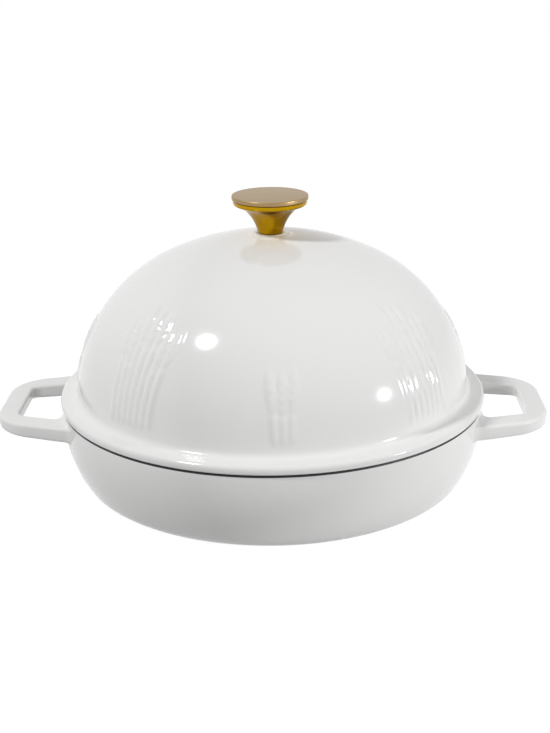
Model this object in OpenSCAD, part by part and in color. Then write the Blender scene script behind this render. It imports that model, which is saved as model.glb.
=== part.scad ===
// Bread cloche: a low cast pan with two loop handles under a tall domed lid with a knob.
// Millimetres, +Z up, origin on the table at the centre of the pan, handles along X.

/* [Pan] */
// Outside diameter at the widest point of the wall
pan_d = 260.4; // [240:0.2:290]
// Height of the rim above the table
pan_h = 50.2; // [47:0.1:62]
// Height of the widest point of the wall above the table
pan_belly_h = 44; // [36:0.5:46]
// Radius of the outward bow of the wall
pan_bow_r = 78; // [70:1:100]
// Radius of the outside corner between wall and base
pan_corner_r = 11.2; // [8:0.1:14]
// Radius of the inside corner between wall and floor
pan_inner_corner_r = 10; // [6:0.5:14]
// Thickness of the wall
pan_wall = 4.5; // [3.5:0.1:5.5]
// Height of the floor's upper face above the table
pan_floor = 5.5; // [4.5:0.1:7]
// Rounding of the two edges of the rim
rim_edge_r = 1.2; // [0.5:0.1:1.6]
// Width of the ring that the pan stands on
foot_w = 14; // [8:1:30]
// Depth of the shallow recess inside the foot ring
foot_recess = 1; // [0.5:0.1:2]

/* [Handles] */
// How far a handle stands out past the widest point of the wall
handle_reach = 38.5; // [34:0.5:46]
// Width over both bars of a handle, where they meet the wall
handle_w = 94.6; // [90:0.2:110]
// Thickness of a handle at the wall
handle_root_t = 9.2; // [8:0.1:11]
// Thickness of a handle at its tip
handle_tip_t = 8; // [7:0.1:9]
// How far the top of a handle lies below the rim
handle_drop = 5; // [3.5:0.1:8]
// Angle by which each side of a handle draws in
handle_taper = 15.5; // [8:0.5:20]
// Outside corner radius of a handle, seen from above
handle_corner_r = 28; // [18:1:30]
// Rounding of the long edges of a handle
handle_edge_r = 2; // [1:0.1:3]
// Fillet where a handle grows out of the wall
handle_fillet_r = 6; // [3:0.5:7]
// Width of the finger gap at the wall
gap_w = 64; // [54:0.5:68]
// How far the finger gap reaches past the widest point of the wall
gap_reach = 25.3; // [20:0.1:27]
// Corner radius of the finger gap, seen from above
gap_corner_r = 7; // [4:0.5:12]

/* [Lid] */
// How far the flange stands out past the widest point of the pan's wall
flange_out = 0.8; // [0.4:0.1:4]
// Thickness of the flange at its outer edge
flange_t = 5; // [4:0.1:7]
// Angle by which the flange slopes down outwards
flange_slope = 8; // [2:1:12]
// Rounding of the flange's upper edge
flange_edge_r = 2.6; // [1.5:0.1:3]
// Rounding of the flange's lower edge
flange_under_r = 0.8; // [0.4:0.1:1]
// Fillet between flange and dome
flange_fillet_r = 4; // [2:0.5:5]
// How far the foot of the dome lies inside the edge of the flange
flange_step = 10.2; // [9.6:0.1:14]
// Height of the crown above the rim of the pan
dome_h = 101.5; // [95:0.5:115]
// Radius of the crown
crown_r = 159.3; // [140:0.1:180]
// Radius of the shoulder below the crown
shoulder_r = 93.6; // [85:0.1:100]
// Thickness of the dome
dome_wall = 4; // [3:0.1:5]
// Depth of the lip that centres the lid inside the rim
lip_h = 3; // [2:0.1:5]
// Thickness of the lip
lip_w = 3.4; // [2.5:0.1:4]
// Diameter of the flat boss under the knob
boss_d = 24.4; // [20:0.2:30]
// Height of the boss above the crown
boss_rise = 0.15; // [0.05:0.05:1]
// Diameter of the flat boss inside the crown
inner_boss_d = 24; // [21:0.5:30]
// Height of the inside boss below the inner face of the crown
inner_boss_rise = 1; // [0.6:0.1:2]

/* [Knob] */
// Diameter of the knob's top disc
knob_d = 46; // [40:0.5:50]
// Height of the whole knob over its gasket
knob_h = 23.05; // [21:0.05:30]
// Thickness of the top disc
cap_t = 2.6; // [2:0.1:4]
// Rounding of the top disc's edges
cap_edge_r = 0.5; // [0.2:0.1:0.9]
// Height of the knob body's rim under the disc
knob_rim_t = 3.3; // [2.5:0.1:4]
// How far the rim of the knob body stays inside the disc's edge
knob_rim_step = 0.7; // [0.3:0.1:1.5]
// Diameter of the knob's foot
foot_d = 15; // [13:0.5:17]
// Diameter at the bend of the flare
flare_bend_d = 22; // [18:0.5:26]
// Height of the bend of the flare above the foot
flare_bend_h = 13.4; // [11:0.1:14]
// Diameter of the spigot under the top disc
spigot_d = 12; // [8:0.5:16]
// Length of the spigot under the top disc
spigot_l = 3; // [2:0.5:4]

/* [Fixings] */
// Diameter of the screw
screw_d = 6; // [5:0.5:8]
// Length of the screw under its head
screw_l = 18; // [16:0.5:20]
// Diameter of the screw head
head_d = 12; // [11:0.5:14]
// Height of the screw head
head_h = 4; // [3.6:0.1:5]
// Width of one arm of the cross recess
cross_w = 1.5; // [1:0.1:2]
// Length across two arms of the cross recess
cross_l = 6.4; // [4:0.1:8]
// Depth of the cross recess
cross_depth = 2.4; // [1.5:0.1:3]
// Diameter of the flat washer
washer_d = 18; // [14:0.5:20]
// Thickness of the flat washer
washer_t = 1.2; // [1:0.1:1.6]
// Diameter of the spring washer
lock_d = 11; // [10:0.5:13]
// Thickness of the spring washer
lock_t = 1.6; // [1.2:0.1:2]
// Width of the split in the spring washer
lock_split = 0.9; // [0.5:0.1:1.5]
// Lean of the split in the spring washer
lock_lean = 20; // [0:5:30]
// Diameter of the gasket under the knob
gasket_d = 17.4; // [16:0.2:20]
// Thickness of the gasket
gasket_t = 0.5; // [0.4:0.1:1.5]

/* [Fits] */
// Gap between the rim of the pan and the flange of the lid
seam_gap = 0.3; // [0.2:0.05:0.6]
// Gap around the lip inside the rim
lip_gap = 1.2; // [0.6:0.1:2]
// Gap around the screw's thread in the knob
thread_gap = 0.05; // [0.02:0.01:0.1]
// Gap around the screw in the hole through the crown
hole_gap = 0.25; // [0.15:0.05:0.5]
// Gap around the screw in the washers and the gasket
washer_gap = 0.2; // [0.1:0.05:0.4]
// Gap around the spigot of the top disc
spigot_gap = 0.05; // [0.02:0.01:0.1]
// Free depth of the threaded hole past the end of the screw
thread_spare = 2; // [1:0.5:3]
// Free depth of the spigot's hole
spigot_spare = 0.3; // [0.1:0.1:1]

/* [Hidden] */
$fn = 128;

// How much cutting solids run past the faces that they cut
cut = 1;

// Pan: the centre of the wall's bow, and the centres of the two corners that touch it
pan_r = pan_d / 2;
bow_c = [pan_r - pan_bow_r, pan_belly_h];
inner_bow_r = pan_bow_r - pan_wall;
corner_c = [corner_x(pan_bow_r, pan_corner_r, 0), pan_corner_r];
inner_corner_c = [corner_x(inner_bow_r, pan_inner_corner_r, pan_floor), pan_floor + pan_inner_corner_r];
rim_outer_r = bow_x(pan_bow_r, pan_h);
rim_inner_r = bow_x(inner_bow_r, pan_h);

// Handle: the plan of a handle's outside and of its finger gap
handle_top = pan_h - handle_drop;
handle_x = pan_r + handle_reach;
gap_x = pan_r + gap_reach;
root_x = pan_r - 16;
outer_side = side_line(handle_x, handle_w / 2, handle_corner_r);
gap_side = side_line(gap_x, gap_w / 2, gap_corner_r);
side_steps = 16;
corner_steps = 10;
edge_steps = 4;
top_flare_share = 0.35;

// Lid: the flange covers the pan, the dome stands on the flange, and arcs join them at the seam's height
flange_d = pan_d + 2 * flange_out;
dome_d = flange_d - 2 * flange_step;
seam_z = pan_h + seam_gap;
crown_z = pan_h + dome_h;
crown_c = [0, crown_z - crown_r];
join_a = acos((dome_d / 2 - shoulder_r) / (crown_r - shoulder_r));
shoulder_c = crown_c + (crown_r - shoulder_r) * [cos(join_a), sin(join_a)];
flange_r = flange_d / 2;
flange_n = [sin(flange_slope), cos(flange_slope)];
flange_edge_c = [flange_r - flange_edge_r, seam_z + flange_t - flange_edge_r];
fillet_start = flange_edge_c + (flange_edge_r + flange_fillet_r) * flange_n;
fillet_dir = [-cos(flange_slope), sin(flange_slope)];
fillet_b = fillet_dir * (fillet_start - shoulder_c);
fillet_q = pow(norm(fillet_start - shoulder_c), 2) - pow(shoulder_r + flange_fillet_r, 2);
fillet_c = fillet_start + (-fillet_b - sqrt(pow(fillet_b, 2) - fillet_q)) * fillet_dir;
fillet_a = atan2(fillet_c[1] - shoulder_c[1], fillet_c[0] - shoulder_c[0]);
lip_r = rim_inner_r - lip_gap;
lip_edge_r = 0.8;
hole_r = screw_d / 2 + hole_gap;
boss_z = crown_z + boss_rise;
boss_edge = 0.8;
inner_boss_z = crown_z - dome_wall - inner_boss_rise;
inner_boss_edge = 1.2;

// Knob and fixings: every height follows from the two faces of the crown
gasket_z = boss_z;
knob_z = gasket_z + gasket_t;
knob_rim_r = knob_d / 2 - knob_rim_step;
knob_body_h = knob_h - cap_t;
flare_end = [knob_rim_r - 1.5, knob_body_h - knob_rim_t];
flare_bend = [flare_bend_d / 2, flare_bend_h];
foot_edge_r = 0.7;
washer_z = inner_boss_z - washer_t;
lock_z = washer_z - lock_t;
thread_l = screw_l - (knob_z - lock_z);
small_hole_r = screw_d / 2 + washer_gap;

// Radius of the wall's bow, of the given size, at height z
function bow_x(r, z) = bow_c[0] + sqrt(r * r - pow(z - bow_c[1], 2));

// Where a corner of radius r centres, so that it touches a bow from inside and a floor at height z
function corner_x(bow, r, z) = bow_c[0] + sqrt(pow(bow - r, 2) - pow(bow_c[1] - z - r, 2));

// Points on an arc about c, from angle a to angle b
function arc(c, r, a, b, n) = [for (i = [0:n]) c + r * [cos(a + (b - a) * i / n), sin(a + (b - a) * i / n)]];

// Direction from one point to another, in degrees
function bearing(from, to) = atan2(to[1] - from[1], to[0] - from[0]);

// Point at share t along a curve from p, bent towards q, to s
function bend(p, q, s, t) = (1 - t) * (1 - t) * p + 2 * t * (1 - t) * q + t * t * s;

// Plan of one side of a handle: where the side starts, where its corner starts, and the corner's centre
function side_line(tip_x, half_w, r) =
    let (draw_in = tan(handle_taper))
    let (corner_start_x = tip_x - r + r * sin(handle_taper))
    let (centre_y = half_w - r * cos(handle_taper) - (corner_start_x - pan_r) * draw_in)
    [[root_x, half_w + (pan_r - root_x) * draw_in],
     [corner_start_x, centre_y + r * cos(handle_taper)],
     [tip_x - r, centre_y]];

// How much a handle swells where its swollen surface would lie at distance d outside the wall
function flare(d) =
    d >= handle_fillet_r ? 0
    : handle_fillet_r - sqrt(pow(handle_fillet_r, 2) - pow(handle_fillet_r - max(d, 0), 2));

// Stations of half a handle, from the wall to the tip: a point on the gap and one on the outside
half_stations = concat(
    [for (i = [0:side_steps])
        let (t = i / side_steps)
        [gap_side[0] + t * (gap_side[1] - gap_side[0]),
         outer_side[0] + t * (outer_side[1] - outer_side[0])]],
    [for (i = [1:corner_steps])
        let (a = (90 - handle_taper) * (1 - i / corner_steps))
        [gap_side[2] + gap_corner_r * [cos(a), sin(a)],
         outer_side[2] + handle_corner_r * [cos(a), sin(a)]]]);
last_half = len(half_stations) - 1;
stations = concat(
    half_stations,
    [for (i = [last_half:-1:0]) [for (p = half_stations[i]) [p[0], -p[1]]]]);

// Thickness of a handle at a distance x from the pan's axis
function handle_t(x) =
    let (t = min(max((x - pan_r) / handle_reach, 0), 1))
    handle_root_t + t * (handle_tip_t - handle_root_t);

// Rounded section of a handle at one station, as points in space
function section(s) =
    let (w = norm(s[1] - s[0]))
    let (across = (s[1] - s[0]) / w)
    let (t = handle_t(s[1][0]))
    [for (c = [0:3])
        let (side = (c == 0 || c == 3) ? 1 : 0)
        let (up = (c == 0 || c == 1) ? 1 : 0)
        let (centre = [side ? w - handle_edge_r : handle_edge_r,
                       handle_top - (up ? handle_edge_r : t - handle_edge_r)])
        for (j = [0:edge_steps])
            let (a = 90 * c + 90 * j / edge_steps)
            let (p = centre + handle_edge_r * [cos(a), sin(a)])
            let (base = s[0] + p[0] * across)
            let (out = side ? across : -across)
            let (rise = up ? top_flare_share : -1)
            let (wall_r = bow_x(pan_bow_r, p[1] + rise * handle_fillet_r))
            let (f = flare(norm(base + handle_fillet_r * out) - wall_r))
            let (xy = base + f * out)
            [xy[0], xy[1], p[1] + rise * f]];

module loop_handle() {
    ring = 4 * (edge_steps + 1);
    count = len(stations);
    points = [for (s = stations) each section(s)];
    walls = [for (i = [0:count - 2]) for (j = [0:ring - 1])
        let (k = (j + 1) % ring)
        each [[i * ring + j, (i + 1) * ring + k, i * ring + k],
              [i * ring + j, (i + 1) * ring + j, (i + 1) * ring + k]]];
    first_end = [for (j = [0:ring - 1]) j];
    last_end = [for (j = [ring - 1:-1:0]) (count - 1) * ring + j];
    polyhedron(points, concat(walls, [first_end, last_end]), convexity = 6);
}

// Outside of the pan, filled, with its rounded outer rim edge
module pan_outside() {
    rim_c = [rim_outer_r - rim_edge_r, pan_h - rim_edge_r];
    rim_a = bearing(bow_c, [rim_outer_r, pan_h - rim_edge_r]);
    rotate_extrude()
        polygon(concat(
            [[0, 0]],
            arc(corner_c, pan_corner_r, -90, bearing(bow_c, corner_c), 8),
            arc(bow_c, pan_bow_r, bearing(bow_c, corner_c), rim_a, 16),
            arc(rim_c, rim_edge_r, 10, 90, 5),
            [[0, pan_h]]));
}

// Hollow of the pan, with the rounded inner rim edge left standing
module pan_hollow() {
    rim_c = [rim_inner_r + rim_edge_r, pan_h - rim_edge_r];
    rim_a = bearing(bow_c, [rim_inner_r, pan_h - rim_edge_r]);
    rotate_extrude()
        polygon(concat(
            [[0, pan_floor]],
            arc(inner_corner_c, pan_inner_corner_r, -90, bearing(bow_c, inner_corner_c), 8),
            arc(bow_c, inner_bow_r, bearing(bow_c, inner_corner_c), rim_a, 16),
            arc(rim_c, rim_edge_r, 180, 90, 5),
            [[rim_c[0], pan_h + cut], [0, pan_h + cut]]));
}

module base_pan() {
    foot_inner_r = corner_c[0] - foot_w;
    color([0.93, 0.93, 0.93])
    difference() {
        union() {
            pan_outside();
            loop_handle();
            mirror([1, 0, 0]) loop_handle();
        }
        pan_hollow();
        translate([0, 0, -cut]) cylinder(h = foot_recess + cut, r = foot_inner_r);
    }
}

// Lid in section: outside from the boss to the flange, then the lip, then back up inside
module dome_lid() {
    boss_r = boss_d / 2;
    inner_boss_r = inner_boss_d / 2;
    boss_a = acos((boss_r + boss_edge) / crown_r);
    inner_boss_a = acos((inner_boss_r + inner_boss_edge) / (crown_r - dome_wall));
    under_c = [flange_r - flange_under_r, seam_z + flange_under_r];
    lip_c = [lip_r - lip_edge_r, seam_z - lip_h + lip_edge_r];
    lip_inner_c = [lip_r - lip_w + lip_edge_r, seam_z - lip_h + lip_edge_r];
    inner_foot_a = asin((seam_z + flange_t - shoulder_c[1]) / (shoulder_r - dome_wall));
    color([0.95, 0.95, 0.95])
    rotate_extrude()
        polygon(concat(
            [[hole_r, boss_z], [boss_r, boss_z]],
            arc(crown_c, crown_r, boss_a, join_a, 14),
            arc(shoulder_c, shoulder_r, join_a, fillet_a, 28),
            arc(fillet_c, flange_fillet_r, 180 + fillet_a, 270 - flange_slope, 6),
            arc(flange_edge_c, flange_edge_r, 90 - flange_slope, 0, 6),
            arc(under_c, flange_under_r, 0, -90, 4),
            [[lip_r, seam_z]],
            arc(lip_c, lip_edge_r, 0, -90, 4),
            arc(lip_inner_c, lip_edge_r, 270, 180, 4),
            [[lip_r - lip_w, seam_z]],
            arc(shoulder_c, shoulder_r - dome_wall, inner_foot_a, join_a, 28),
            arc(crown_c, crown_r - dome_wall, join_a, inner_boss_a, 14),
            [[inner_boss_r, inner_boss_z], [hole_r, inner_boss_z]]));
}

// Flared knob with a plain rim under the disc, a threaded hole below and the spigot's hole above
module knob_body() {
    rim_soft = 1.5;
    rim_top_edge = 0.5;
    color([0.74, 0.56, 0.2])
    translate([0, 0, knob_z])
    difference() {
        rotate_extrude()
            polygon(concat(
                [[0, 0]],
                arc([foot_d / 2 - foot_edge_r, foot_edge_r], foot_edge_r, -90, 0, 4),
                [for (i = [1:16]) bend([foot_d / 2, foot_edge_r], flare_bend, flare_end, i / 16)],
                arc([knob_rim_r - rim_soft, flare_end[1] + rim_soft], rim_soft, -60, 0, 5),
                [[knob_rim_r, knob_body_h - rim_top_edge],
                 [knob_rim_r - rim_top_edge, knob_body_h],
                 [0, knob_body_h]]));
        translate([0, 0, -cut])
            cylinder(h = thread_l + thread_spare + cut, r = screw_d / 2 + thread_gap);
        translate([0, 0, knob_body_h - spigot_l - spigot_spare])
            cylinder(h = spigot_l + spigot_spare + cut, r = spigot_d / 2 + spigot_gap);
    }
}

// Flat disc with softened edges and a spigot that drops into the knob body
module knob_cap() {
    edge_x = knob_d / 2 - cap_edge_r;
    color([0.8, 0.7, 0.52])
    translate([0, 0, knob_z + knob_body_h])
    union() {
        rotate_extrude()
            polygon(concat(
                [[0, 0]],
                arc([edge_x, cap_edge_r], cap_edge_r, -90, 0, 4),
                arc([edge_x, cap_t - cap_edge_r], cap_edge_r, 0, 90, 4),
                [[0, cap_t]]));
        translate([0, 0, -spigot_l]) cylinder(h = spigot_l + cap_t / 2, d = spigot_d);
    }
}

// Flat ring with a plain hole, for the washers and the gasket
module ring(d, hole, t) {
    difference() {
        cylinder(h = t, d = d);
        translate([0, 0, -cut]) cylinder(h = t + 2 * cut, r = hole);
    }
}

module knob_gasket() {
    color([0.88, 0.88, 0.86])
    translate([0, 0, gasket_z]) ring(gasket_d, small_hole_r, gasket_t);
}

module flat_washer() {
    color([0.7, 0.7, 0.72])
    translate([0, 0, washer_z]) ring(washer_d, small_hole_r, washer_t);
}

// Spring washer pressed flat, with its leaning split
module lock_washer() {
    color([0.62, 0.62, 0.64])
    translate([0, 0, lock_z])
    difference() {
        ring(lock_d, small_hole_r, lock_t);
        translate([lock_d / 2, 0, lock_t / 2])
            rotate([lock_lean, 0, 0])
            cube([lock_d, lock_split, 3 * lock_t], center = true);
    }
}

// Screw with a rounded head below and a cross recess that a driver reaches from inside the dome
module knob_screw() {
    head_edge_r = 1.6;
    tip_edge = 0.6;
    color([0.68, 0.68, 0.7])
    translate([0, 0, lock_z])
    difference() {
        rotate_extrude()
            polygon(concat(
                [[0, -head_h]],
                arc([head_d / 2 - head_edge_r, head_edge_r - head_h], head_edge_r, -90, 0, 6),
                [[head_d / 2, 0],
                 [screw_d / 2, 0],
                 [screw_d / 2, screw_l - tip_edge],
                 [screw_d / 2 - tip_edge, screw_l],
                 [0, screw_l]]));
        for (turn = [0, 90])
            rotate([0, 0, turn])
            translate([-cross_l / 2, -cross_w / 2, -head_h - cut])
            cube([cross_l, cross_w, cross_depth + cut]);
    }
}

base_pan();
dome_lid();
knob_body();
knob_cap();
knob_gasket();
flat_washer();
lock_washer();
knob_screw();
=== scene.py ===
from math import acos, asin, atan2, cos, hypot, pi, radians, sin, sqrt, tan

import bpy
import numpy as np
from mathutils import Matrix, Vector


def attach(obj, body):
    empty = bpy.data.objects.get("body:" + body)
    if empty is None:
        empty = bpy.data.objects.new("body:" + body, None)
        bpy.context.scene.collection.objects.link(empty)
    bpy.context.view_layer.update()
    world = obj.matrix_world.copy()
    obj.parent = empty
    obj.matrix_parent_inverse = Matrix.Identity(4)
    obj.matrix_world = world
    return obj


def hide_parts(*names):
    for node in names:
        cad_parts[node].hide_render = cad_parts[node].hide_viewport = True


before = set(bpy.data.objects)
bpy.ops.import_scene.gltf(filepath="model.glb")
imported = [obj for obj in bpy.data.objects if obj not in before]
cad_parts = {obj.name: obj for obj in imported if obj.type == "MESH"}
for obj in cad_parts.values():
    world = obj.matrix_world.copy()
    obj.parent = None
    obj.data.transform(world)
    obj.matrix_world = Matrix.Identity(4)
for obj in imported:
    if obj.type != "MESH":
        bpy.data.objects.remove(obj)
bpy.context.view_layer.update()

bl_info = {
    "name": "Bread Cloche",
    "version": (1, 0, 0),
    "blender": (4, 5, 0),
    "location": "View3D > Sidebar > Cloche",
    "description": "Dresses an enamelled cast-iron bread cloche with its finishes and a soft studio",
    "category": "Object",
}

MM = 0.001


def length(name, mm, description):
    """A size that a user can change, given here in millimetres."""
    return bpy.props.FloatProperty(name=name, description=description, default=mm * MM, min=0.0,
                                   precision=5, unit="LENGTH", subtype="DISTANCE")


def colour(name, code, description):
    """A colour that a user can change, given here as an sRGB hex value."""
    return bpy.props.FloatVectorProperty(name=name, description=description, size=3, min=0.0, max=1.0,
                                         default=linear(code), subtype="COLOR")


def linear(code):
    """An sRGB hex value as the linear colour that the shaders use."""
    values = [int(code[i:i + 2], 16) / 255 for i in (0, 2, 4)]
    return [v / 12.92 if v <= 0.04045 else ((v + 0.055) / 1.055) ** 2.4 for v in values]


class ClochePan(bpy.types.PropertyGroup):
    """Sizes of the cast pan and its handles"""
    diameter: length("Diameter", 260.4, "Outside diameter at the widest point of the wall")
    height: length("Height", 50.2, "Height of the rim above the table")
    belly: length("Belly height", 44, "Height of the widest point of the wall")
    bow: length("Bow radius", 78, "Radius of the outward bow of the wall")
    corner: length("Corner radius", 11.2, "Outside radius between wall and base")
    inner_corner: length("Inside corner radius", 10, "Inside radius between wall and floor")
    wall: length("Wall", 4.5, "Thickness of the wall")
    floor: length("Floor height", 5.5, "Height of the floor's upper face")
    rim_edge: length("Rim rounding", 1.2, "Rounding of the edges of the rim")
    foot: length("Foot ring width", 14, "Width of the ring that the pan stands on")
    recess: length("Foot recess", 1, "Depth of the recess inside the foot ring")
    bare_band: length("Black rim", 1.3, "Height of the black enamel that shows on the outside of the rim")
    reach: length("Handle reach", 38.5, "How far a handle stands out past the wall")
    handle_width: length("Handle width", 94.6, "Width over both bars at the wall")
    root: length("Handle root", 9.2, "Thickness of a handle at the wall")
    tip: length("Handle tip", 8, "Thickness of a handle at its tip")
    drop: length("Handle drop", 5, "How far the handles lie below the rim")
    handle_corner: length("Handle corner", 28, "Outside corner radius seen from above")
    handle_edge: length("Handle edge", 2, "Rounding of the long edges")
    fillet: length("Handle fillet", 6, "Fillet where a handle grows out of the wall")
    gap_width: length("Gap width", 64, "Width of the finger gap at the wall")
    gap_reach: length("Gap reach", 25.3, "How far the finger gap reaches past the wall")
    gap_corner: length("Gap corner", 7, "Corner radius of the finger gap")


class ClocheLid(bpy.types.PropertyGroup):
    """Sizes of the domed lid and its relief"""
    seam: length("Seam height", 50.5, "Height of the underside of the flange")
    flange: length("Flange diameter", 261.9, "Outside diameter of the flange")
    flange_t: length("Flange thickness", 5, "Thickness of the flange at its edge")
    flange_edge: length("Flange edge", 2.6, "Rounding of the upper edge")
    flange_under: length("Flange lower edge", 0.8, "Rounding of the lower edge")
    fillet: length("Flange fillet", 4, "Fillet between flange and dome")
    dome: length("Dome diameter", 241.6, "Outside diameter of the dome at the flange")
    crown_z: length("Crown height", 151.7, "Height of the crown above the table")
    crown: length("Crown radius", 159.3, "Radius of the crown")
    shoulder: length("Shoulder radius", 93.6, "Radius of the shoulder below the crown")
    wall: length("Wall", 4, "Thickness of the dome")
    lip: length("Lip depth", 3, "Depth of the lip inside the rim")
    lip_w: length("Lip thickness", 3.4, "Thickness of the lip")
    lip_r: length("Lip radius", 124.2, "Outside radius of the lip")
    boss: length("Boss diameter", 24.4, "Diameter of the boss under the knob")
    boss_rise: length("Boss height", 0.15, "Height of the boss above the crown")
    hole: length("Hole radius", 3.25, "Radius of the hole for the screw")
    relief: length("Relief height", 0.95, "Height of the raised wheat over the dome")
    stalk: length("Stalk spacing", 6.4, "Distance between the stalks of a sheaf")
    sheaf: length("Sheaf height", 82, "Height of the tallest stalk along the dome")


class ClocheKnob(bpy.types.PropertyGroup):
    """Sizes of the knob"""
    foot_z: length("Foot height", 152.35, "Height of the knob's foot above the table")
    height: length("Height", 23.05, "Height of the whole knob")
    diameter: length("Disc diameter", 46, "Diameter of the top disc")
    cap: length("Disc thickness", 2.6, "Thickness of the top disc")
    rim: length("Rim height", 3.3, "Height of the body's rim under the disc")
    step: length("Rim step", 0.7, "How far the body's rim stays inside the disc")
    foot: length("Foot diameter", 15, "Diameter of the foot")
    bend: length("Bend diameter", 22, "Diameter at the bend of the flare")
    bend_h: length("Bend height", 13.4, "Height of the bend above the foot")


class ClocheFinish(bpy.types.PropertyGroup):
    """Colours of the finishes"""
    enamel: colour("White enamel", "F6F6F5", "Gloss enamel outside")
    black: colour("Black enamel", "101011", "Matte enamel on the rim and inside")
    gold: colour("Polished gold", "B58C0D", "Knob body")
    satin: colour("Satin gold", "A18963", "Top disc of the knob")
    steel: colour("Steel", "B9B9BC", "Screw and washers")
    silicone: colour("Silicone", "E4E4DF", "Gasket under the knob")


GROUPS = {"cloche_pan": ClochePan, "cloche_lid": ClocheLid, "cloche_knob": ClocheKnob,
          "cloche_finish": ClocheFinish}


def add(tree, kind, links=None, **settings):
    """A node with its settings, and links from other nodes' outputs to its inputs."""
    node = tree.nodes.new(kind)
    for key, value in settings.items():
        if hasattr(node, key):
            setattr(node, key, value)
        else:
            node.inputs[key.replace("_", " ")].default_value = value
    for name, source in (links or {}).items():
        tree.links.new(source, node.inputs[name])
    return node


def surface(name, tint, roughness, metallic=0.0, grain_mm=1.0, bump=0.1, stretch=(1, 1, 1),
            vary=0.0, wear=0.0):
    """A finish whose colour, gloss and bump all come from noise of a real size."""
    material = bpy.data.materials.get(name) or bpy.data.materials.new(name)
    material.use_nodes = True
    tree = material.node_tree
    tree.nodes.clear()
    place = add(tree, "ShaderNodeTexCoord")
    turn = add(tree, "ShaderNodeMapping", {"Vector": place.outputs["Object"]})
    turn.inputs["Scale"].default_value = stretch
    fine = add(tree, "ShaderNodeTexNoise", {"Vector": turn.outputs[0]}, Scale=1 / (grain_mm * MM), Detail=3.0)
    broad = add(tree, "ShaderNodeTexNoise", {"Vector": place.outputs["Object"]}, Scale=28.0, Detail=2.0)
    tints = add(tree, "ShaderNodeMix", {"Factor": broad.outputs["Fac"]}, data_type="RGBA")
    tints.inputs[6].default_value = (*[c * (1 - vary) for c in tint], 1)
    tints.inputs[7].default_value = (*tint, 1)
    gloss = add(tree, "ShaderNodeMapRange", {"Value": fine.outputs["Fac"]})
    gloss.inputs["To Min"].default_value = max(roughness - wear, 0.02)
    gloss.inputs["To Max"].default_value = roughness + wear
    relief = add(tree, "ShaderNodeBump", {"Height": fine.outputs["Fac"]}, Strength=bump, Distance=0.05 * MM)
    shader = add(tree, "ShaderNodeBsdfPrincipled",
                 {"Base Color": tints.outputs[2], "Roughness": gloss.outputs[0], "Normal": relief.outputs[0]},
                 Metallic=metallic)
    add(tree, "ShaderNodeOutputMaterial", {"Surface": shader.outputs[0]})
    return material


def white_enamel():
    """Vitreous enamel, fired: a glassy white with the faint waviness of a flowed coat."""
    return surface("gloss_white_enamel", bpy.context.scene.cloche_finish.enamel, 0.1,
                   grain_mm=9, bump=0.25, vary=0.012, wear=0.02)


def black_enamel():
    """Matte black enamel, fired thin over cast iron, with a fine sandy grain."""
    return surface("matte_black_enamel", bpy.context.scene.cloche_finish.black, 0.5,
                   grain_mm=0.9, bump=0.5, vary=0.25, wear=0.08)


def polished_gold():
    """Gold-coloured plating over a polished casting, almost a mirror."""
    return surface("polished_gold_plate", bpy.context.scene.cloche_finish.gold, 0.12, metallic=1.0,
                   grain_mm=5, bump=0.15, vary=0.1, wear=0.03)


def satin_gold():
    """Gold plating over a brushed disc; the hairlines are drawn 0.4 mm apart, coarse enough to show."""
    return surface("satin_gold_plate", bpy.context.scene.cloche_finish.satin, 0.36, metallic=1.0,
                   grain_mm=0.4, bump=0.3, stretch=(0.04, 1, 1), vary=0.05, wear=0.07)


def steel():
    """Plain zinc-plated steel, as screws come."""
    return surface("zinc_plated_steel", bpy.context.scene.cloche_finish.steel, 0.32, metallic=1.0,
                   grain_mm=0.6, bump=0.3, vary=0.12, wear=0.08)


def silicone():
    """Moulded silicone, pale and slightly dull."""
    return surface("moulded_silicone", bpy.context.scene.cloche_finish.silicone, 0.45,
                   grain_mm=0.5, bump=0.2, vary=0.04, wear=0.05)


def arc(centre, r, a, b, n):
    """Points on an arc from angle a to angle b, in radians."""
    return [(centre[0] + r * cos(a + (b - a) * i / n), centre[1] + r * sin(a + (b - a) * i / n))
            for i in range(n + 1)]


def bearing(start, end):
    """Angle of the line from one point to another."""
    return atan2(end[1] - start[1], end[0] - start[0])


def finish_mesh(name, verts, faces, zones, materials, body, nodes):
    """Makes a closed smooth piece that rides on a body and stands for CAD nodes."""
    mesh = bpy.data.meshes.new(name)
    mesh.from_pydata(verts, [], faces)
    for material in materials:
        mesh.materials.append(material)
    mesh.polygons.foreach_set("material_index", zones)
    mesh.validate()
    mesh.shade_smooth()
    mesh.set_sharp_from_angle(angle=radians(38))
    piece = bpy.data.objects.new(name, mesh)
    bpy.context.scene.collection.objects.link(piece)
    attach(piece, body)
    if nodes:
        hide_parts(*nodes)
    return piece


def revolve(profile, turns, zones):
    """Turns a profile about Z. Points on the axis become one vertex, and a loop off it is closed."""
    verts, rings, faces, marks = [], [], [], []
    for r, z in profile:
        start = len(verts)
        if r < 1e-9:
            verts.append((0.0, 0.0, z))
            rings.append([start] * turns)
        else:
            verts += [(r * cos(2 * pi * k / turns), r * sin(2 * pi * k / turns), z) for k in range(turns)]
            rings.append(list(range(start, start + turns)))
    pairs = list(zip(rings, rings[1:]))
    if profile[0][0] > 1e-9:
        pairs.append((rings[-1], rings[0]))
    for index, (low, high) in enumerate(pairs):
        for k in range(turns):
            m = (k + 1) % turns
            corners = []
            for v in (low[k], low[m], high[m], high[k]):
                if v not in corners:
                    corners.append(v)
            if len(corners) > 2:
                faces.append(corners)
                marks.append(zones[min(index, len(zones) - 1)])
    return verts, faces, marks


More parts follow.
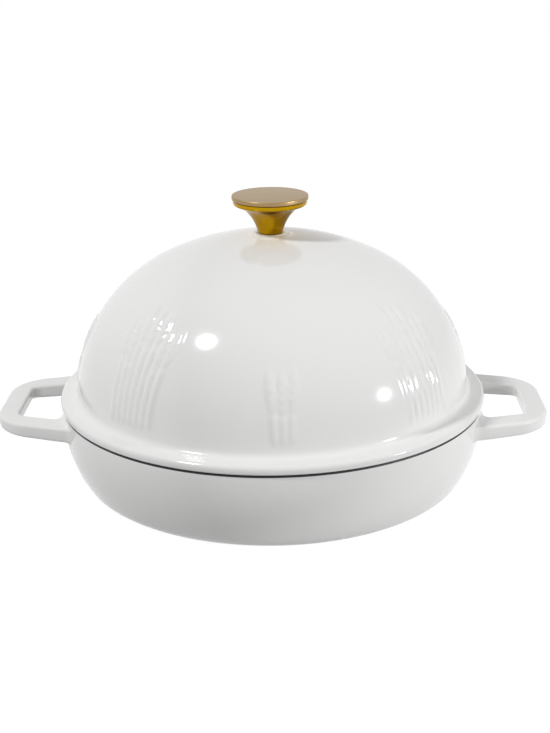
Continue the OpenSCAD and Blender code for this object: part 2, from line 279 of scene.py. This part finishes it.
class PanShape:
    """The arcs of the pan's wall, shared by the bowl and the handles."""

    def __init__(self, p):
        self.p = p
        self.r = p.diameter / 2
        self.centre = (self.r - p.bow, p.belly)

    def wall_r(self, z, inset=0.0):
        """Radius of the wall at height z, less an inset."""
        return self.centre[0] + sqrt((self.p.bow - inset) ** 2 - (z - self.centre[1]) ** 2)

    def corner(self, bow, r, z):
        """Centre of a corner that touches the bow from inside and a floor at height z."""
        return (self.centre[0] + sqrt((bow - r) ** 2 - (self.centre[1] - z - r) ** 2), z + r)


class CLOCHE_OT_pan(bpy.types.Operator):
    """Make the enamelled bowl of the pan"""
    bl_idname = "cloche.pan"
    bl_label = "Pan"

    def execute(self, context):
        p = context.scene.cloche_pan
        shape = PanShape(p)
        c = shape.centre
        outer = shape.corner(p.bow, p.corner, 0)
        inner = shape.corner(p.bow - p.wall, p.inner_corner, p.floor)
        band_z = p.height - p.bare_band
        edge_z = p.height - p.rim_edge
        rim_out, rim_in = shape.wall_r(p.height), shape.wall_r(p.height, p.wall)
        foot_inner = outer[0] - p.foot
        white = [(0, p.recess), (foot_inner - 0.5 * MM, p.recess), (foot_inner, p.recess - 0.3 * MM),
                 (foot_inner, 0.3 * MM), (foot_inner + 0.3 * MM, 0)]
        white += arc(outer, p.corner, -pi / 2, bearing(c, outer), 20)
        white += arc(c, p.bow, bearing(c, outer), asin((band_z - c[1]) / p.bow), 50)[1:]
        dark = arc((rim_out - p.rim_edge, edge_z), p.rim_edge, 0, pi / 2, 8)
        dark += arc((rim_in + p.rim_edge, edge_z), p.rim_edge, pi / 2, pi, 8)
        dark += arc(c, p.bow - p.wall, asin((edge_z - c[1]) / (p.bow - p.wall)), bearing(c, inner), 50)[1:]
        dark += arc(inner, p.inner_corner, bearing(c, inner), -pi / 2, 20)[1:]
        dark += [(0, p.floor)]
        zones = [0] * (len(white) - 1) + [1] * (len(dark) + 1)
        verts, faces, marks = revolve(white + dark, 320, zones)
        finish_mesh("pan_bowl", verts, faces, marks, [white_enamel(), black_enamel()], "pan",
                    ["base_pan"])
        return {"FINISHED"}


def handle_side(p, r, tip_x, half, corner, taper):
    """One side of a handle in plan: start of the side, start of its corner, centre of its corner."""
    turn_x = tip_x - corner + corner * sin(taper)
    y = half - corner * cos(taper) - (turn_x - r) * tan(taper)
    root_x = r - 16 * MM
    return (root_x, half + (r - root_x) * tan(taper)), (turn_x, y + corner * cos(taper)), (tip_x - corner, y)


def handle_stations(p, r, taper):
    """Pairs of points, on the finger gap and on the outside, from one root round to the other."""
    side_steps, corner_steps = 40, 24
    gap = handle_side(p, r, r + p.gap_reach, p.gap_width / 2, p.gap_corner, taper)
    out = handle_side(p, r, r + p.reach, p.handle_width / 2, p.handle_corner, taper)
    half = []
    for i in range(side_steps + 1):
        t = i / side_steps
        half.append([tuple(a + t * (b - a) for a, b in zip(s[0], s[1])) for s in (gap, out)])
    for i in range(1, corner_steps + 1):
        a = (pi / 2 - taper) * (1 - i / corner_steps)
        half.append([(s[2][0] + k * cos(a), s[2][1] + k * sin(a))
                     for s, k in ((gap, p.gap_corner), (out, p.handle_corner))])
    return half + [[(x, -y) for x, y in pair] for pair in reversed(half)]


def handle_ring(shape, pair):
    """Rounded section at one station, swollen by the fillet and kept out of the bowl."""
    p, steps, top_share = shape.p, 8, 0.35
    (gx, gy), (ox, oy) = pair
    w = hypot(ox - gx, oy - gy)
    ax, ay = (ox - gx) / w, (oy - gy) / w
    t = p.root + min(max((ox - shape.r) / p.reach, 0), 1) * (p.tip - p.root)
    top, e, points = p.height - p.drop, p.handle_edge, []
    for c in range(4):
        side, up = (1 if c in (0, 3) else -1), c < 2
        cu = w - e if side > 0 else e
        cz = top - e if up else top - t + e
        for j in range(steps + 1):
            a = pi / 2 * (c + j / steps)
            u, z = cu + e * cos(a), cz + e * sin(a)
            x, y = gx + u * ax, gy + u * ay
            rise = top_share if up else -1
            d = hypot(x + side * p.fillet * ax, y + side * p.fillet * ay) - shape.wall_r(z + rise * p.fillet)
            f = 0.0 if d >= p.fillet else p.fillet - sqrt(p.fillet ** 2 - (p.fillet - max(d, 0)) ** 2)
            x, y, z = x + side * f * ax, y + side * f * ay, z + rise * f
            grow = max(1.0, (shape.wall_r(z) - p.wall / 2) / hypot(x, y))
            points.append((x * grow, y * grow, z))
    return points


class CLOCHE_OT_handles(bpy.types.Operator):
    """Make the two loop handles that grow out of the wall"""
    bl_idname = "cloche.handles"
    bl_label = "Handles"

    def execute(self, context):
        shape = PanShape(context.scene.cloche_pan)
        stations = handle_stations(shape.p, shape.r, radians(15.5))
        for name, flip in (("handle_right", 1), ("handle_left", -1)):
            verts, faces = [], []
            for pair in stations:
                verts += [(flip * x, flip * y, z) for x, y, z in handle_ring(shape, pair)]
            ring = len(verts) // len(stations)
            for i in range(len(stations) - 1):
                for j in range(ring):
                    k = (j + 1) % ring
                    faces.append((i * ring + j, i * ring + k, (i + 1) * ring + k, (i + 1) * ring + j))
            faces += [tuple(range(ring))[::-1], tuple(range(len(verts) - ring, len(verts)))]
            finish_mesh(name, verts, faces, [0] * len(faces), [white_enamel()], "pan",
                        ["base_pan"])
        return {"FINISHED"}


def soft(d, half):
    """A ridge of unit height that fades out smoothly at half its width."""
    return np.where(np.abs(d) < half, 0.5 + 0.5 * np.cos(pi * d / half), 0.0)


def wheat(u, v, height, spacing, stalks):
    """Height of a sheaf of wheat, 0 to 1, at distance u beside its middle and v up the dome."""
    head, grain, ear, field = 27 * MM, 5.4 * MM, 3.2 * MM, np.zeros_like(u)
    for k in range(stalks):
        place = k - (stalks - 1) / 2
        top = height * (1 - 0.07 * abs(place) - 0.09 * (k % 2))
        d = u - place * spacing * (0.75 + 0.45 * (v / height) ** 2)
        ends = np.clip((v - 3 * MM) / (4 * MM), 0, 1) * np.clip((top - head - v) / (3 * MM) + 1, 0, 1)
        field = np.maximum(field, 0.9 * soft(d, 2.6 * MM) ** 0.6 * ends)
        share = (v - top) / head + 1
        body = 1 - (d / ear) ** 2 - (2 * share - 1) ** 2
        plait = 0.8 + 0.2 * np.cos(2 * pi * (v - 1.3 * np.abs(d)) / grain)
        field = np.maximum(field, np.sqrt(np.clip(body, 0, 1)) * plait)
    return field


def lid_profile(s):
    """Section of the lid as a loop, with a mark of 1 for each outside point on the dome that carries the relief,
    and zones.
    """
    slope = radians(8)
    c = (0.0, s.crown_z - s.crown)
    join = acos((s.dome / 2 - s.shoulder) / (s.crown - s.shoulder))
    h = (c[0] + (s.crown - s.shoulder) * cos(join), c[1] + (s.crown - s.shoulder) * sin(join))
    flange_r = s.flange / 2
    edge = (flange_r - s.flange_edge, s.seam + s.flange_t - s.flange_edge)
    both = s.flange_edge + s.fillet
    start = (edge[0] + both * sin(slope), edge[1] + both * cos(slope))
    way = (-cos(slope), sin(slope))
    gap = (start[0] - h[0], start[1] - h[1])
    b = way[0] * gap[0] + way[1] * gap[1]
    q = gap[0] ** 2 + gap[1] ** 2 - (s.shoulder + s.fillet) ** 2
    t = -b - sqrt(b * b - q)
    fillet = (start[0] + t * way[0], start[1] + t * way[1])
    low = bearing(h, fillet)
    boss_r = s.boss / 2
    under = (flange_r - s.flange_under, s.seam + s.flange_under)
    lip_e, inner_boss = 0.8 * MM, 12 * MM
    boss_z, inner_z = s.crown_z + s.boss_rise, s.crown_z - s.wall - 1 * MM
    dome = arc(c, s.crown, acos((boss_r + 0.8 * MM) / s.crown), join, 30)
    dome += arc(h, s.shoulder, join, low, 78)[1:]
    outside = [(s.hole, boss_z), (boss_r - 0.3 * MM, boss_z), (boss_r, boss_z - 0.1 * MM)] + dome
    outside += arc(fillet, s.fillet, pi + low, 1.5 * pi - slope, 6)[1:]
    outside += arc(edge, s.flange_edge, pi / 2 - slope, 0, 6)
    outside += arc(under, s.flange_under, 0, -pi / 2, 3)
    inside = [(s.lip_r, s.seam)] + arc((s.lip_r - lip_e, s.seam - s.lip + lip_e), lip_e, 0, -pi / 2, 3)
    inside += arc((s.lip_r - s.lip_w + lip_e, s.seam - s.lip + lip_e), lip_e, 1.5 * pi, pi, 3)
    inside += [(s.lip_r - s.lip_w, s.seam)]
    inside += arc(h, s.shoulder - s.wall, asin((s.seam + s.flange_t - h[1]) / (s.shoulder - s.wall)), join, 14)
    inside += arc(c, s.crown - s.wall, join, acos((inner_boss + 1.2 * MM) / (s.crown - s.wall)), 7)[1:]
    inside += [(inner_boss, inner_z), (s.hole, inner_z)]
    steps = [0.0] * 3 + [1.0] * len(dome)
    steps += [0.0] * (len(outside) + len(inside) - len(steps))
    zones = [0] * (len(outside) - 1) + [1] * len(inside)
    return outside + inside, steps, zones


class CLOCHE_OT_dome(bpy.types.Operator):
    """Make the enamelled lid with its flange, lip and a raised ring of wheat sheaves"""
    bl_idname = "cloche.dome"
    bl_label = "Dome"

    def execute(self, context):
        s = context.scene.cloche_lid
        profile, on_dome, zones = lid_profile(s)
        turns, sheaves = 600, 4
        verts, faces, marks = revolve(profile, turns, zones)
        points = np.array(verts).reshape(len(profile), turns, 3)
        r, z = np.array(profile).T
        raised = np.array(on_dome)
        last = int(np.nonzero(raised)[0][-1])
        up = np.concatenate([np.cumsum(np.hypot(np.diff(r), np.diff(z))), [0.0]])
        v = (up[last - 1] - np.concatenate([[0.0], up[:-1]]))[:, None]
        angle = (np.arange(turns) * 2 * pi / turns)[None, :]
        field = np.zeros((len(profile), turns))
        front = radians(-86)
        for k in range(sheaves * 2):
            middle = front + k * pi / sheaves
            u = (np.mod(angle - middle + pi, 2 * pi) - pi) * r[:, None]
            tall = k % 2 == 1
            field = np.maximum(field, wheat(u, v + 0 * u, s.sheaf * (1 if tall else 0.6), s.stalk,
                                            7 if tall else 3))
        field *= raised[:, None] * s.relief
        dr, dz = np.gradient(r), np.gradient(z)
        size = np.hypot(dr, dz)
        size[size == 0] = 1
        outward = (-dz / size)[:, None] * field
        points[:, :, 0] += outward * np.cos(angle)
        points[:, :, 1] += outward * np.sin(angle)
        points[:, :, 2] += (dr / size)[:, None] * field
        finish_mesh("lid_dome", [tuple(p) for p in points.reshape(-1, 3)], [f[::-1] for f in faces], marks,
                    [white_enamel(), black_enamel()], "lid", ["dome_lid"])
        return {"FINISHED"}


class CLOCHE_OT_knob(bpy.types.Operator):
    """Make the flared knob and its satin disc"""
    bl_idname = "cloche.knob"
    bl_label = "Knob"

    def execute(self, context):
        k = context.scene.cloche_knob
        foot_e, soft_r, cut_e, turns = 0.7 * MM, 1.5 * MM, 0.5 * MM, 192
        body_h, rim_r = k.height - k.cap, k.diameter / 2 - k.step
        thread_r, thread_h, spigot_r, spigot_h = 3.05 * MM, 12 * MM, 6.05 * MM, 3.3 * MM
        p0, p1 = (k.foot / 2, foot_e), (k.bend / 2, k.bend_h)
        p2 = (rim_r - soft_r, body_h - k.rim)
        flare = [tuple((1 - t) ** 2 * a + 2 * t * (1 - t) * b + t * t * c for a, b, c in zip(p0, p1, p2))
                 for t in (i / 40 for i in range(1, 41))]
        body = [(0, thread_h), (thread_r, thread_h), (thread_r, 0)]
        body += arc((k.foot / 2 - foot_e, foot_e), foot_e, -pi / 2, 0, 8) + flare
        body += arc((rim_r - soft_r, p2[1] + soft_r), soft_r, -pi / 3, 0, 10)
        body += [(rim_r, body_h - cut_e), (rim_r - cut_e, body_h), (spigot_r, body_h),
                 (spigot_r, body_h - spigot_h), (0, body_h - spigot_h)]
        edge, disc_r = 0.5 * MM, k.diameter / 2
        plug_r, plug_h = 6 * MM, 3 * MM
        disc = [(0, body_h - plug_h), (plug_r, body_h - plug_h), (plug_r, body_h)]
        disc += arc((disc_r - edge, body_h + edge), edge, -pi / 2, 0, 8)
        disc += arc((disc_r - edge, k.height - edge), edge, 0, pi / 2, 8)
        disc += [(0, k.height)]
        for name, profile, node, finish, slot in (
                ("knob_stem", body, "knob_body", [polished_gold()], "polished_gold"),
                ("knob_disc", disc, "knob_cap", [satin_gold()], "satin_gold")):
            placed = [(r, z + k.foot_z) for r, z in profile]
            zones = [0] * (len(profile) - 1)
            verts, faces, marks = revolve(placed, turns, zones)
            finish_mesh(name, verts, faces, marks, finish, "lid", [node])
        return {"FINISHED"}


class CLOCHE_OT_fixings(bpy.types.Operator):
    """Give the gasket, the washers and the screw their finishes"""
    bl_idname = "cloche.fixings"
    bl_label = "Fixings"

    def execute(self, context):
        for node, finish in (("knob_gasket", silicone()), ("flat_washer", steel()),
                             ("lock_washer", steel()), ("knob_screw", steel())):
            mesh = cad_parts[node].data
            mesh.materials.clear()
            mesh.materials.append(finish)
        return {"FINISHED"}


def light_path_share(tree):
    """1 for rays from the camera, from a mirror or through glass, and 0 for the light itself."""
    path = add(tree, "ShaderNodeLightPath")
    seen = add(tree, "ShaderNodeMath", operation="MAXIMUM")
    tree.links.new(path.outputs["Is Camera Ray"], seen.inputs[0])
    tree.links.new(path.outputs["Is Glossy Ray"], seen.inputs[1])
    both = add(tree, "ShaderNodeMath", operation="MAXIMUM")
    tree.links.new(seen.outputs[0], both.inputs[0])
    tree.links.new(path.outputs["Is Transmission Ray"], both.inputs[1])
    return both.outputs[0]


def camera_axes(elevation, turn, roll):
    """Right, up and forward of a camera that looks down at the object."""
    forward = Vector((-sin(turn) * cos(elevation), cos(turn) * cos(elevation), -sin(elevation)))
    right = Vector((cos(turn), sin(turn), 0))
    up = right.cross(forward)
    return right * cos(roll) + up * sin(roll), up * cos(roll) - right * sin(roll), forward


def softbox(name, s, azimuth, lean, eye, distance, width, watts):
    """A round lamp whose mirror image shows on the dome, where the dome faces azimuth and leans by lean."""
    join = acos((s.dome / 2 - s.shoulder) / (s.crown - s.shoulder))
    hub = ((s.crown - s.shoulder) * cos(join), s.crown_z - s.crown + (s.crown - s.shoulder) * sin(join))
    r, z = hub[0] + s.shoulder * cos(lean), hub[1] + s.shoulder * sin(lean)
    point = Vector((r * cos(azimuth), r * sin(azimuth), z))
    normal = Vector((cos(lean) * cos(azimuth), cos(lean) * sin(azimuth), sin(lean)))
    view = (eye - point).normalized()
    way = 2 * normal.dot(view) * normal - view
    lamp = bpy.data.lights.new(name, "AREA")
    lamp.shape, lamp.size, lamp.energy = "DISK", width, watts
    box = bpy.data.objects.new(name, lamp)
    box.location = point + way * distance
    box.rotation_euler = way.to_track_quat("Z", "Y").to_euler()
    bpy.context.scene.collection.objects.link(box)


class CLOCHE_OT_stage(bpy.types.Operator):
    """Set the pale floor, the white surround, the soft lamps and the camera"""
    bl_idname = "cloche.stage"
    bl_label = "Stage"

    def execute(self, context):
        scene = context.scene
        scene.view_settings.view_transform = "Standard"
        half, under = 9.0, -0.05 * MM
        mesh = bpy.data.meshes.new("floor")
        mesh.from_pydata([(x, y, under) for x, y in ((-half, -half), (half, -half), (half, half), (-half, half))],
                         [], [(0, 1, 2, 3)])
        floor = bpy.data.objects.new("floor", mesh)
        scene.collection.objects.link(floor)
        paper = bpy.data.materials.new("pale_paper")
        paper.use_nodes = True
        tree = paper.node_tree
        tree.nodes.clear()
        lit = add(tree, "ShaderNodeBsdfDiffuse", Color=(0.5, 0.5, 0.5, 1))
        thin = add(tree, "ShaderNodeBsdfDiffuse", Color=(0.16, 0.16, 0.16, 1))
        glow = add(tree, "ShaderNodeEmission", Strength=0.96)
        bright = add(tree, "ShaderNodeAddShader")
        tree.links.new(thin.outputs[0], bright.inputs[0])
        tree.links.new(glow.outputs[0], bright.inputs[1])
        choice = add(tree, "ShaderNodeMixShader", {"Fac": light_path_share(tree)})
        tree.links.new(lit.outputs[0], choice.inputs[1])
        tree.links.new(bright.outputs[0], choice.inputs[2])
        add(tree, "ShaderNodeOutputMaterial", {"Surface": choice.outputs[0]})
        mesh.materials.append(paper)
        world = bpy.data.worlds.new("studio")
        world.use_nodes = True
        scene.world = world
        tree = world.node_tree
        tree.nodes.clear()
        level = add(tree, "ShaderNodeMapRange", {"Value": light_path_share(tree)})
        level.inputs["To Min"].default_value = 0.25
        level.inputs["To Max"].default_value = 1.0
        back = add(tree, "ShaderNodeBackground", {"Strength": level.outputs[0]}, Color=(1, 1, 1, 1))
        add(tree, "ShaderNodeOutputWorld", {"Surface": back.outputs[0]})
        turn, elevation, roll, distance = radians(1.2), radians(19.296), radians(-0.69), 840.8 * MM
        right, up, forward = camera_axes(elevation, turn, roll)
        target = Vector((1.8 * MM, 0, 66.8 * MM))
        data = bpy.data.cameras.new("camera")
        data.lens, data.sensor_width = 66.31, 36.0
        camera = bpy.data.objects.new("camera", data)
        eye = target - forward * distance
        camera.matrix_world = Matrix.Translation(eye) @ Matrix((right, up, -forward)).transposed().to_4x4()
        scene.collection.objects.link(camera)
        scene.camera = camera
        lid = scene.cloche_lid
        softbox("key_softbox", lid, radians(-110.1), radians(41), eye, 1.2, 0.18, 8.1)
        softbox("fill_softbox", lid, radians(-56.4), radians(19.7), eye, 1.2, 0.08, 7.3)
        return {"FINISHED"}


PIECES = (CLOCHE_OT_pan, CLOCHE_OT_handles, CLOCHE_OT_dome, CLOCHE_OT_knob, CLOCHE_OT_fixings,
          CLOCHE_OT_stage)


class CLOCHE_PT_panel(bpy.types.Panel):
    """Lists the pieces of the cloche"""
    bl_idname = "CLOCHE_PT_panel"
    bl_label = "Bread Cloche"
    bl_space_type = "VIEW_3D"
    bl_region_type = "UI"
    bl_category = "Cloche"

    def draw(self, context):
        for group in GROUPS:
            values = getattr(context.scene, group)
            box = self.layout.box()
            for key in values.__annotations__:
                box.prop(values, key)
        for piece in PIECES:
            self.layout.operator(piece.bl_idname)


def register():
    for group, kind in GROUPS.items():
        bpy.utils.register_class(kind)
        setattr(bpy.types.Scene, group, bpy.props.PointerProperty(type=kind))
    for kind in (*PIECES, CLOCHE_PT_panel):
        bpy.utils.register_class(kind)


def unregister():
    for kind in (CLOCHE_PT_panel, *reversed(PIECES)):
        bpy.utils.unregister_class(kind)
    for group, kind in GROUPS.items():
        delattr(bpy.types.Scene, group)
        bpy.utils.unregister_class(kind)


def main():
    register()
    for piece in PIECES:
        family, name = piece.bl_idname.split(".")
        getattr(getattr(bpy.ops, family), name)()


if __name__ == "__main__":
    main()
